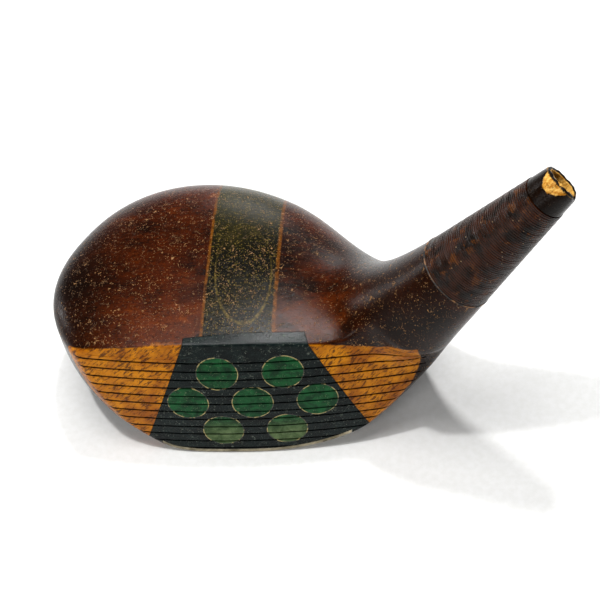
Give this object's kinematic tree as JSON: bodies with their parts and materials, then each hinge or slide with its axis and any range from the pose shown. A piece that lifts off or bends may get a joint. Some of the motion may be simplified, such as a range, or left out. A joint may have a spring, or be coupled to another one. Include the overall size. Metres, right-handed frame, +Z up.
{
  "type": "wooden golf club head",
  "caption": "Right-handed wooden driver head without its shaft: lofted, scored face with a trapezoid insert and round pegs, domed crown, and a whipped neck with an open shaft bore.",
  "frame": {"origin": "on the flat of the sole plate, in line with the middle of the face", "axes": "+X from toe to heel, +Y from the face to the back, +Z up, away from the sole"},
  "size_m": [0.1409, 0.0787, 0.0946],
  "materials": {
    "wood": "worn lacquer over stained hardwood, bare ochre wood on the face",
    "insert": "dark pressed fibre, lightly polished",
    "peg": "dyed fibre, worn",
    "plate": "dull, scratched",
    "screw": "dull, slotted",
    "lead": "matt lead",
    "thread": "pitched and lacquered linen thread"
  },
  "bodies": {
    "root": {"head_block": "wood", "face_insert": "insert", "face_peg_1": "peg", "face_peg_2": "peg", "face_peg_3": "peg", "face_peg_4": "peg", "face_peg_5": "peg", "face_peg_6": "peg", "face_peg_7": "peg", "sole_plate": "plate", "sole_screw_1": "screw", "sole_screw_2": "screw", "sole_screw_3": "screw", "sole_screw_4": "screw", "sole_screw_5": "screw", "sole_screw_6": "screw", "sole_weight": "lead", "whipping": "thread"}
  },
  "joints": []
}
